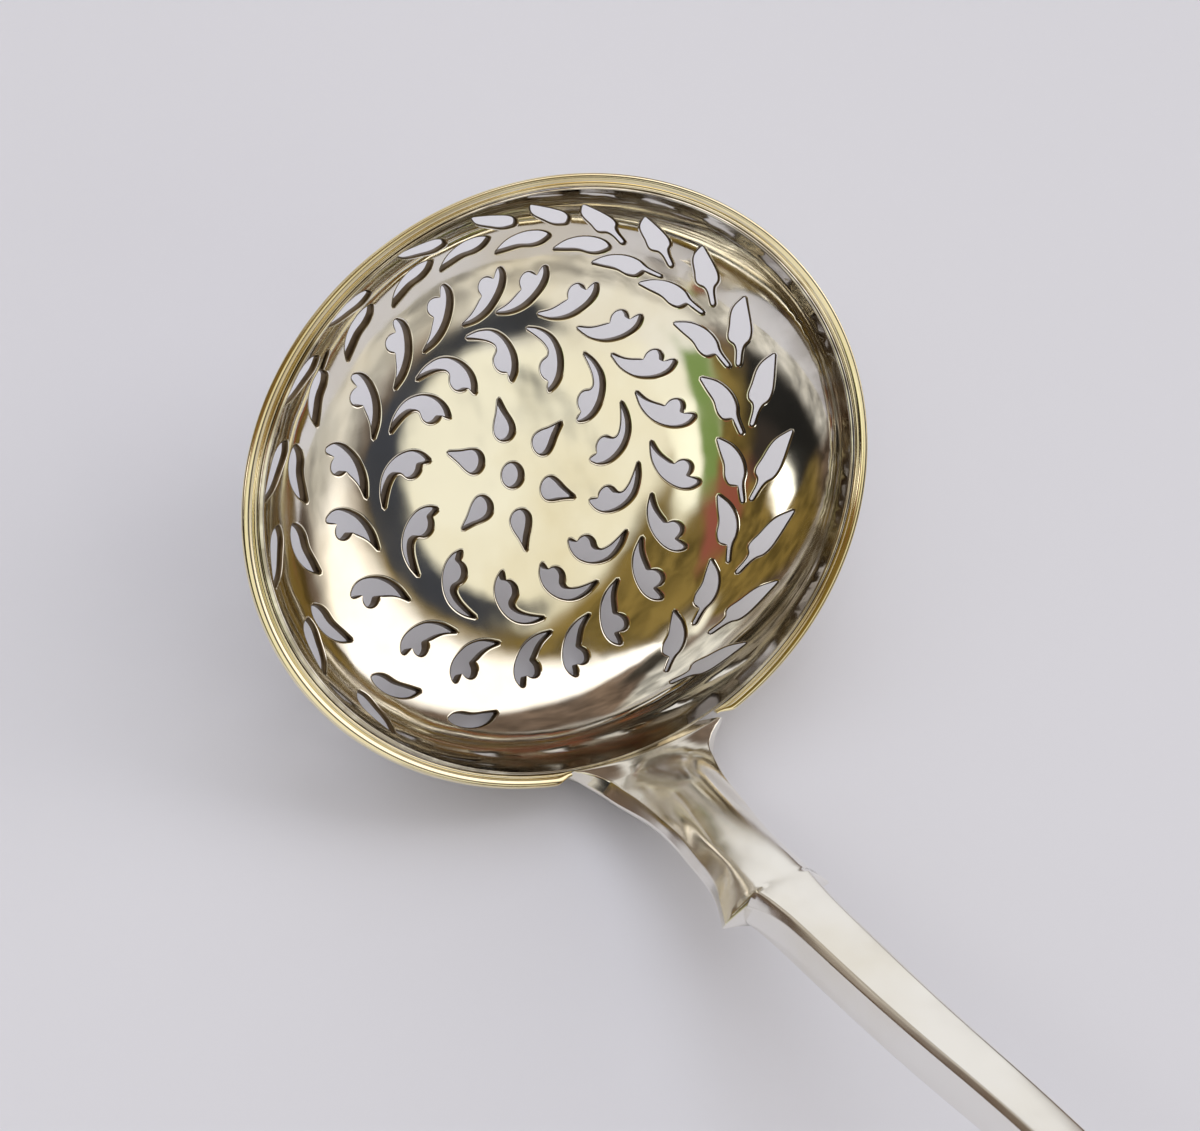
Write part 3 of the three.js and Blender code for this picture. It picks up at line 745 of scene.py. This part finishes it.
# %% The forged stem
SECTION_STEP = 0.35
STEM_CREASE = 38


def eased(xs, ys, at):
    """Values between stations, smooth and without overshoot."""
    h, d = np.diff(xs), np.diff(ys) / np.diff(xs)
    m = np.zeros(len(xs))
    same = d[1:] * d[:-1] > 0
    w1, w2 = 2 * h[1:] + h[:-1], h[1:] + 2 * h[:-1]
    with np.errstate(divide="ignore", invalid="ignore"):
        m[1:-1] = np.where(same, (w1 + w2) / (w1 / d[:-1] + w2 / d[1:]), 0)
    m[0], m[-1] = d[0], d[-1]
    i = np.clip(np.searchsorted(xs, at) - 1, 0, len(h) - 1)
    t = (at - xs[i]) / h[i]
    a, b = (1 + 2 * t) * (1 - t) ** 2, t * (1 - t) ** 2
    c, e = t * t * (3 - 2 * t), t * t * (t - 1)
    return a * ys[i] + b * h[i] * m[i] + c * ys[i + 1] + e * h[i] * m[i + 1]


def make_stem():
    loops = []
    for part in STATIONS:
        table = np.array(part, float)
        at = table[:, 0]
        count = max(2, round((at[-1] - at[0]) / SECTION_STEP))
        alongs = np.unique(np.concatenate([np.linspace(at[0], at[-1], count), at]))
        columns = [eased(at, table[:, k], alongs) for k in range(1, 6)]
        loops += [stem_section(along, sizes) for along, sizes in zip(alongs, zip(*columns))]
    return add_mesh("forged_stem", np.concatenate(loops), capped_tube(loops, turned=True), sharp=STEM_CREASE)


stem = make_stem()

# %% [markdown]
# The smith files the root to fit the back of the bowl before soldering it. Here one boolean does it,
# with a filled shape of the bowl's outside as the cutter. This cut has no pattern of holes in it, so an
# exact boolean leaves clean edges, and the cutter isn't kept.


# %% Fit the stem to the bowl
ENVELOPE_TURNS = 200
ENVELOPE_RINGS = 70
ENVELOPE_GAP = 0.02
ENVELOPE_TOP = 0.03


def make_envelope():
    """The filled outside of the bowl, which the stem's root is cut back to."""
    s = np.concatenate([np.linspace(0.4, LIP_DISTANCE - 0.3, ENVELOPE_RINGS), [LIP_DISTANCE]])
    r, z = section(s, thickness(s) + ENVELOPE_GAP)
    r[-1], z[-1] = LIP_RADIUS + LIP_SHEET + ENVELOPE_GAP, ENVELOPE_TOP
    turn = np.linspace(0, 2 * np.pi, ENVELOPE_TURNS, endpoint=False)
    loops = [place(radius, turn, height) for radius, height in zip(r, z)]
    return add_mesh("envelope", np.concatenate(loops), capped_tube(loops))


def carve(piece, cutter):
    """Cuts one closed mesh out of another and drops the cutter."""
    cut = piece.modifiers.new("cut", "BOOLEAN")
    cut.operation, cut.solver, cut.object = "DIFFERENCE", "EXACT", cutter
    shaped = piece.evaluated_get(bpy.context.evaluated_depsgraph_get())
    carved = bpy.data.meshes.new_from_object(shaped)
    piece.modifiers.clear()
    piece.data = carved
    carved.polygons.foreach_set("use_smooth", [True] * len(carved.polygons))
    carved.set_sharp_from_angle(angle=math.radians(STEM_CREASE))
    bpy.data.objects.remove(cutter)
    print(piece.name, "after the cut:", len(carved.polygons), "faces")


carve(stem, make_envelope())

# %% [markdown]
# Materials are trees of nodes. Colours are written as sRGB hex, as a picture editor shows them, and one
# function turns them linear, as the shaders need. One small function adds a node with its settings and
# links, so each finish reads as a short recipe. Patterns are given by their real size in millimetres.


# %% Colours and nodes
def colour(hex_text):
    values = [int(hex_text[i : i + 2], 16) / 255 for i in (1, 3, 5)]
    linear = [v / 12.92 if v <= 0.04045 else ((v + 0.055) / 1.055) ** 2.4 for v in values]
    return (*linear, 1.0)


def add_node(tree, kind, settings=(), links=()):
    """Adds one node, sets its properties and inputs, and links its inputs."""
    node = tree.nodes.new(kind)
    for name, value in dict(settings).items():
        if isinstance(name, str) and hasattr(node, name):
            setattr(node, name, value)
        else:
            node.inputs[name].default_value = value
    for name, source in dict(links).items():
        tree.links.new(source, node.inputs[name])
    return node


def per_metre(millimetres):
    """The scale of a pattern whose marks are this far apart, as whole marks to the metre."""
    return float(round(1000 / millimetres))


def new_finish(name):
    """An empty material, its tree and its places in metres."""
    material = bpy.data.materials.new(name)
    material.use_nodes = True
    tree = material.node_tree
    tree.nodes.clear()
    return material, tree, add_node(tree, "ShaderNodeTexCoord").outputs["Object"]


print("mid grey is", round(colour("#808080")[0], 3), "linear")

# %% [markdown]
# Silver tarnishes to a thin yellowish film, in soft patches. Grooves keep more of it, while edges are
# rubbed bright. The top few millimetres of the bowl, inside and out, are also painted a mottled dark
# brown: a painted dark reflection, standing in for the dark room mirrored there. A painted map could
# show this, but noise and the shape's own hollows follow the piece wherever it is cut.


# %% Tarnish on silver, and a painted dark reflection near the mouth
FILM_PATCH = 12.5
# the painted dark reflection: mottled, full from 1 mm below the mouth upward and gone by 4.8 mm below it
DARK_REFLECTION_CLOUD = 3.03
DARK_REFLECTION_DEPTH = 4.8
DARK_REFLECTION_FULL = 1.0


def tarnished_colour(tree, where, tint, film, dark_reflection):
    """The silver's tint under film and groove tarnish, with a painted dark reflection near the mouth."""
    patches = add_node(
        tree, "ShaderNodeTexNoise", {"Scale": per_metre(FILM_PATCH), "Detail": 5.0}, {"Vector": where},
    )
    patch = add_node(
        tree, "ShaderNodeMapRange", {"From Min": 0.42, "From Max": 0.72, "To Min": 0.0, "To Max": 0.7},
        {"Value": patches.outputs["Fac"]},
    )
    filmed = add_node(
        tree, "ShaderNodeMixRGB", {"Color1": colour(tint), "Color2": colour(film)},
        {"Fac": patch.outputs["Result"]},
    )
    form = add_node(tree, "ShaderNodeNewGeometry").outputs["Pointiness"]
    groove = add_node(
        tree, "ShaderNodeMapRange", {"From Min": 0.25, "From Max": 0.46, "To Min": 0.8, "To Max": 0.0},
        {"Value": form},
    )
    aged = add_node(
        tree, "ShaderNodeMixRGB", {"Color2": colour("#6E5F45")},
        {"Fac": groove.outputs["Result"], "Color1": filmed.outputs["Color"]},
    )
    # painted dark reflection: a mottled dark brown band just under the mouth, inside the bowl and out
    up = tipped((0, 0, 1))
    lip_level = float(np.dot(SHIFT, up))
    level = add_node(tree, "ShaderNodeVectorMath", {"operation": "DOT_PRODUCT", 1: up.tolist()}, {0: where})
    under = add_node(
        tree, "ShaderNodeMapRange",
        {
            "interpolation_type": "SMOOTHSTEP", "From Min": (lip_level - DARK_REFLECTION_DEPTH) * MM,
            "From Max": (lip_level - DARK_REFLECTION_FULL) * MM, "To Min": 0.0, "To Max": dark_reflection,
        },
        {"Value": level.outputs["Value"]},
    )
    reflection_clouds = add_node(
        tree, "ShaderNodeTexNoise", {"Scale": per_metre(DARK_REFLECTION_CLOUD), "Detail": 4.0}, {"Vector": where},
    )
    reflection_cloud = add_node(
        tree, "ShaderNodeMapRange", {"From Min": 0.4, "From Max": 0.58, "To Min": 0.2, "To Max": 1.0},
        {"Value": reflection_clouds.outputs["Fac"]},
    )
    dark_reflection_share = add_node(
        tree, "ShaderNodeMath", {"operation": "MULTIPLY"},
        {0: under.outputs["Result"], 1: reflection_cloud.outputs["Result"]},
    )
    return add_node(
        tree, "ShaderNodeMixRGB", {"Color2": colour("#5E4C34")},
        {"Fac": dark_reflection_share.outputs["Value"], "Color1": aged.outputs["Color"]},
    ).outputs["Color"]


print("smoke starts", DARK_REFLECTION_DEPTH, "mm below the mouth")

# %% [markdown]
# Hand-polished sterling silver is nearly a mirror. What tells it from chrome is its warm tone, shallow
# waves left by the hammer and the buff, and a haze of fine scratches that changes the gloss from place
# to place. The waves are 5 mm long and only hundredths of a millimetre deep, so a bump shows them and
# the mesh stays clean. The real scratches are finer than 0.2 mm, and are drawn that coarse to show.


# %% Polished silver
HAZE_PATCH = 3.846
BUFF_WAVE = 5.263
SCRATCH = 0.1923
SCRATCH_DEPTH = 0.0006
SCRATCH_STRETCH = 0.12


def polished_silver(name, tint, film, roughness, wave, dark_reflection=0.0):
    material, tree, where = new_finish(name)
    tone = tarnished_colour(tree, where, tint, film, dark_reflection)
    haze = add_node(
        tree, "ShaderNodeTexNoise", {"Scale": per_metre(HAZE_PATCH), "Detail": 4.0}, {"Vector": where},
    )
    gloss = add_node(
        tree, "ShaderNodeMapRange",
        {"From Min": 0.3, "From Max": 0.7, "To Min": roughness * 0.6, "To Max": roughness * 1.7},
        {"Value": haze.outputs["Fac"]},
    )
    buffed = add_node(
        tree, "ShaderNodeTexNoise", {"Scale": per_metre(BUFF_WAVE), "Detail": 1.5}, {"Vector": where},
    )
    waves = add_node(
        tree, "ShaderNodeBump", {"Strength": 1.0, "Distance": wave * MM}, {"Height": buffed.outputs["Fac"]},
    )
    stretch = add_node(
        tree, "ShaderNodeMapping", {"Scale": (1.0, SCRATCH_STRETCH, 1.0)}, {"Vector": where},
    )
    lines = add_node(
        tree, "ShaderNodeTexNoise", {"Scale": per_metre(SCRATCH), "Detail": 2.0},
        {"Vector": stretch.outputs["Vector"]},
    )
    scratched = add_node(
        tree, "ShaderNodeBump", {"Strength": 0.5, "Distance": SCRATCH_DEPTH * MM},
        {"Height": lines.outputs["Fac"], "Normal": waves.outputs["Normal"]},
    )
    shader = add_node(
        tree, "ShaderNodeBsdfPrincipled", {"Metallic": 1.0},
        {"Base Color": tone, "Roughness": gloss.outputs["Result"], "Normal": scratched.outputs["Normal"]},
    )
    add_node(tree, "ShaderNodeOutputMaterial", {}, {"Surface": shader.outputs["BSDF"]})
    return material


# only the bowl takes the painted dark reflection near its mouth
silver = polished_silver("polished sterling silver", "#F3F0E8", "#DDD0B0", 0.07, 0.08, dark_reflection=0.6)
worn_silver = polished_silver("handled sterling silver", "#F6F4EF", "#E6DFCC", 0.13, 0.04)
wire_silver = polished_silver("polished silver wire", "#F0E6C8", "#D2BE8C", 0.09, 0.03)
print("finishes", silver.name, "/", worn_silver.name, "/", wire_silver.name)

# %% [markdown]
# Polishing never reaches the sawn walls of the openings, so they keep a dark brown tarnish and the
# grain of the saw's teeth. The same dark skin also covers the steeper part of each eased edge, as painted
# shade that darkens the outlines. It is the same metal with a darker, rougher skin, so it stays fully
# metallic.


# %% Tarnished saw cuts, with painted shade on the eased edges
BLOTCH = 1.111
SAW_GRAIN = 0.25
SAW_DEPTH = 0.02


def tarnish_and_painted_edge_shade():
    material, tree, where = new_finish("tarnished sawn silver with painted edge shade")
    blotch = add_node(
        tree, "ShaderNodeTexNoise", {"Scale": per_metre(BLOTCH), "Detail": 4.0}, {"Vector": where},
    )
    tone = add_node(
        tree, "ShaderNodeMixRGB", {"Color1": colour("#3A2F26"), "Color2": colour("#84735A")},
        {"Fac": blotch.outputs["Fac"]},
    )
    teeth = add_node(
        tree, "ShaderNodeTexNoise", {"Scale": per_metre(SAW_GRAIN), "Detail": 2.0}, {"Vector": where},
    )
    grain = add_node(
        tree, "ShaderNodeBump", {"Strength": 0.6, "Distance": SAW_DEPTH * MM},
        {"Height": teeth.outputs["Fac"]},
    )
    shader = add_node(
        tree, "ShaderNodeBsdfPrincipled", {"Metallic": 1.0, "Roughness": 0.38},
        {"Base Color": tone.outputs["Color"], "Normal": grain.outputs["Normal"]},
    )
    add_node(tree, "ShaderNodeOutputMaterial", {}, {"Surface": shader.outputs["BSDF"]})
    return material


sawn_and_edge_shade_silver = tarnish_and_painted_edge_shade()
print("finish", sawn_and_edge_shade_silver.name, "for the walls of the openings")

# %% [markdown]
# Each finished piece gets its silver, rides on the one rigid body and takes the place of a plain solid
# of the frame. The bowl has a second finish, for the walls of its openings and, as painted shade, the
# steeper part of their eased edges.

# %% Dress the frame
bowl.data.materials.append(silver)
bowl.data.materials.append(sawn_and_edge_shade_silver)
wire.data.materials.append(wire_silver)
stem.data.materials.append(worn_silver)
for piece, node, slot in (
    (bowl, "bowl", "silver"),
    (wire, "rim_wire", "wire_silver"),
    (stem, "stem", "silver"),
):
    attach(piece, "root")
    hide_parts(node)
    print(piece.name, "replaces", node)

# %% [markdown]
# The spoon lies on matt pale paper. A plane is enough, because nothing of the paper's edge shows, and
# it is made so large that no view meets its end. It lies a hair below the spoon, to keep the two apart.

# %% Table
TABLE_SIZE = 40.0
TABLE_LEVEL = -0.00005
bpy.ops.mesh.primitive_plane_add(size=TABLE_SIZE, location=(0, 0, TABLE_LEVEL))
table = bpy.context.object
table.name = "table"
paper = bpy.data.materials.new("matt pale paper")
paper.use_nodes = True
paper_shader = paper.node_tree.nodes["Principled BSDF"]
paper_shader.inputs["Base Color"].default_value = colour("#DADAE2")
paper_shader.inputs["Roughness"].default_value = 0.9
table.data.materials.append(paper)
print("table", TABLE_SIZE, "m across")

# %% [markdown]
# Silver shows what is round it, so the studio matters as much as the metal. Lamps and boards could be
# built as objects, but they would cast shadows and show in other views. Here the world itself is drawn
# as a warm room with soft-edged zones: pale boards, soft boxes and dark flags, each by its compass
# direction and its height above the table. A soft noise breaks up the room, as furniture would.

# %% Zones of the studio
# name, azimuth, elevation, half width, half height and soft edge in degrees, colour, brightness
ROOM = [
    ("warm ceiling", 0, 90, 400, 8, 5, "#EBE6D8", 1.0),
    ("olive wall", -28, 52, 98, 30, 7, "#8A7540", 1.0),
    ("beige wall behind", -161, 22, 17, 20, 5, "#CFC6BA", 1.0),
    ("pale far table", -8, 2, 76, 13, 5, "#DCD7CD", 1.0),
    ("dark doorway", 152, 78, 38, 6, 4, "#46413A", 1.0),
    ("pale corner", -175, 60, 34, 14, 5, "#E2DED4", 1.0),
]
CARDS = [
    ("pale wall behind", 157, 18, 26, 24, 5, "#F0EEEC", 1.0),
    ("cream board", 16, 33, 30, 11, 3, "#F3EED8", 1.1),
    ("light board", 12, 21, 24, 8, 3, "#F0ECE0", 1.05),
    ("slate card", 33, 23, 9, 4, 2, "#3C3E44", 1.0),
    ("grey card", 46.5, 30, 6.5, 11, 2, "#41434A", 1.0),
    ("black flag", -54, 27, 29, 14, 5, "#232221", 1.0),
    ("dark flag", -42, 42, 9, 8, 4, "#3A3431", 1.0),
    ("red card", -22, 58, 15, 10, 5, "#96574A", 1.0),
    ("green card", -9, 38, 6, 14, 3, "#7E9656", 1.0),
    ("light gap", 2, 45, 6, 8, 2, "#F8F6E0", 1.3),
    ("large soft box", 77, 52, 19, 42, 5, "#FFFAF4", 1.6),
    ("small soft box", -68, 45, 13, 5, 2, "#FFFFFA", 3.0),
    ("top soft box", -112, 82, 40, 4, 3, "#F4F0E0", 1.2),
]
world = bpy.data.worlds.new("soft studio")
bpy.context.scene.world = world
world.use_nodes = True
sky = world.node_tree
sky.nodes.clear()
print("zones", len(ROOM) + len(CARDS))

# %% [markdown]
# A direction becomes an azimuth and an elevation. It is bent a little by noise first, so that the edges
# of the zones wander as the edges of real things do.

# %% Directions in the studio
DRIFT = 0.12
toward = add_node(sky, "ShaderNodeTexCoord").outputs["Generated"]
noise = add_node(sky, "ShaderNodeTexNoise", {"Scale": 3.2, "Detail": 3.0}, {"Vector": toward})
centred = add_node(
    sky, "ShaderNodeVectorMath", {"operation": "SUBTRACT", 1: (0.5, 0.5, 0.5)}, {0: noise.outputs["Color"]},
)
drift = add_node(
    sky, "ShaderNodeVectorMath", {"operation": "SCALE", "Scale": DRIFT}, {0: centred.outputs["Vector"]},
)
bent = add_node(sky, "ShaderNodeVectorMath", {"operation": "ADD"}, {0: toward, 1: drift.outputs["Vector"]})
unit = add_node(sky, "ShaderNodeVectorMath", {"operation": "NORMALIZE"}, {0: bent.outputs["Vector"]})
axis = add_node(sky, "ShaderNodeSeparateXYZ", {}, {"Vector": unit.outputs["Vector"]})
azimuth = add_node(
    sky, "ShaderNodeMath", {"operation": "ARCTAN2"}, {0: axis.outputs["Y"], 1: axis.outputs["X"]},
).outputs["Value"]
elevation = add_node(
    sky, "ShaderNodeMath", {"operation": "ARCSINE"}, {0: axis.outputs["Z"]},
).outputs["Value"]
print("directions drift by up to", DRIFT / 2)

# %% [markdown]
# A zone is where a band of azimuth crosses a band of elevation. The zones are laid over the room one
# after another, like cards on a table, so a later one covers an earlier one.


# %% Zones over a base colour
def within(value, middle, half, edge):
    """One where an angle is within half of the middle, zero outside, soft between."""
    turned = add_node(sky, "ShaderNodeMath", {"operation": "SUBTRACT", 1: math.radians(middle)}, {0: value})
    wrapped = add_node(
        sky, "ShaderNodeMath", {"operation": "WRAP", 1: math.pi, 2: -math.pi}, {0: turned.outputs["Value"]},
    )
    away = add_node(sky, "ShaderNodeMath", {"operation": "ABSOLUTE"}, {0: wrapped.outputs["Value"]})
    band = add_node(
        sky, "ShaderNodeMapRange",
        {
            "interpolation_type": "SMOOTHSTEP", "From Min": math.radians(half - edge),
            "From Max": math.radians(half + edge), "To Min": 1.0, "To Max": 0.0,
        },
        {"Value": away.outputs["Value"]},
    )
    return band.outputs["Result"]


def with_zones(base, zones):
    """The base colour with each zone laid over it in turn."""
    for name, az, el, wide, high, edge, tint, brightness in zones:
        zone = add_node(
            sky, "ShaderNodeMath", {"operation": "MULTIPLY"},
            {0: within(azimuth, az, wide, edge), 1: within(elevation, el, high, edge)},
        )
        shine = tuple(v * brightness for v in colour(tint)[:3]) + (1.0,)
        mix = add_node(
            sky, "ShaderNodeMixRGB", {"Color2": shine, "label": name},
            {"Fac": zone.outputs["Value"], "Color1": base},
        )
        base = mix.outputs["Color"]
    return base


walls = add_node(
    sky, "ShaderNodeMixRGB", {"Color1": colour("#6A5A4E"), "Color2": colour("#857264")},
    {"Fac": axis.outputs["Z"]},
)
clutter = add_node(
    sky, "ShaderNodeTexNoise", {"Scale": 9.0, "Detail": 4.0, "Roughness": 0.6}, {"Vector": toward},
)
shade = add_node(
    sky, "ShaderNodeMapRange", {"From Min": 0.35, "From Max": 0.62, "To Min": 0.4, "To Max": 1.15},
    {"Value": clutter.outputs["Fac"]},
)
cluttered = add_node(
    sky, "ShaderNodeVectorMath", {"operation": "SCALE"},
    {0: with_zones(walls.outputs["Color"], ROOM), "Scale": shade.outputs["Result"]},
)
studio = add_node(
    sky, "ShaderNodeBackground", {"Strength": 1.0}, {"Color": with_zones(cluttered.outputs["Vector"], CARDS)},
)
print("world nodes", len(sky.nodes))

# %% [markdown]
# The camera sees a plain pale backdrop behind the table instead of the studio. A broad soft light from
# above gives the paper its level and the spoon its faint shadow. The silver doesn't reflect this lamp,
# because the soft boxes are already in the world.

# %% Backdrop and soft light
backdrop = add_node(sky, "ShaderNodeBackground", {"Color": colour("#DCDBE5"), "Strength": 1.0})
ray = add_node(sky, "ShaderNodeLightPath")
seen = add_node(
    sky, "ShaderNodeMixShader", {},
    {"Fac": ray.outputs["Is Camera Ray"], 1: studio.outputs["Background"], 2: backdrop.outputs["Background"]},
)
add_node(sky, "ShaderNodeOutputWorld", {}, {"Surface": seen.outputs["Shader"]})

LAMP_LEVEL = 1.7
LAMP_SPREAD = math.radians(100)
LAMP_DIRECTION = Vector((0.2, 0.4, -1.1))
lamp_data = bpy.data.lights.new("broad soft light", "SUN")
lamp_data.energy = LAMP_LEVEL
lamp_data.angle = LAMP_SPREAD
lamp_data.color = colour("#EEF4FF")[:3]
lamp = bpy.data.objects.new("broad soft light", lamp_data)
bpy.context.scene.collection.objects.link(lamp)
lamp.rotation_euler = LAMP_DIRECTION.to_track_quat("-Z", "Y").to_euler()
lamp.visible_glossy = False
print("lamp level", LAMP_LEVEL)

# %% [markdown]
# The camera stands where the photograph was taken, worked out from the oval of the rim, the flat bottom
# and the piercing. Its place and directions are in the bowl's frame, like the pieces, and turn with it.

# %% Camera
CAMERA_PLACE = (-24.87, -76.82, 123.48)
CAMERA_RIGHT = (0.1685, 0.817, 0.5515)
CAMERA_DOWN = (0.9638, -0.2539, 0.0817)
CAMERA_FORWARD = (0.2067, 0.5177, -0.8302)
# the focal length over the width of the picture
FOCAL_WIDTHS = 2200 / 1200
SENSOR_WIDTH = 36.0
camera_data = bpy.data.cameras.new("camera")
camera_data.sensor_fit = "HORIZONTAL"
camera_data.sensor_width = SENSOR_WIDTH
camera_data.lens = SENSOR_WIDTH * FOCAL_WIDTHS
camera_data.clip_start = 0.01
camera = bpy.data.objects.new("camera", camera_data)
bpy.context.scene.collection.objects.link(camera)
bpy.context.scene.camera = camera
axes = [Vector(tipped(CAMERA_RIGHT)), -Vector(tipped(CAMERA_DOWN)), -Vector(tipped(CAMERA_FORWARD))]
camera.matrix_world = Matrix.Translation(Vector(on_table(CAMERA_PLACE))) @ Matrix(axes).transposed().to_4x4()
print("lens", round(camera_data.lens, 1), "mm")

# %% [markdown]
# The plain Standard view shows each colour as it was written.

# %% View settings
bpy.context.scene.view_settings.view_transform = "Standard"
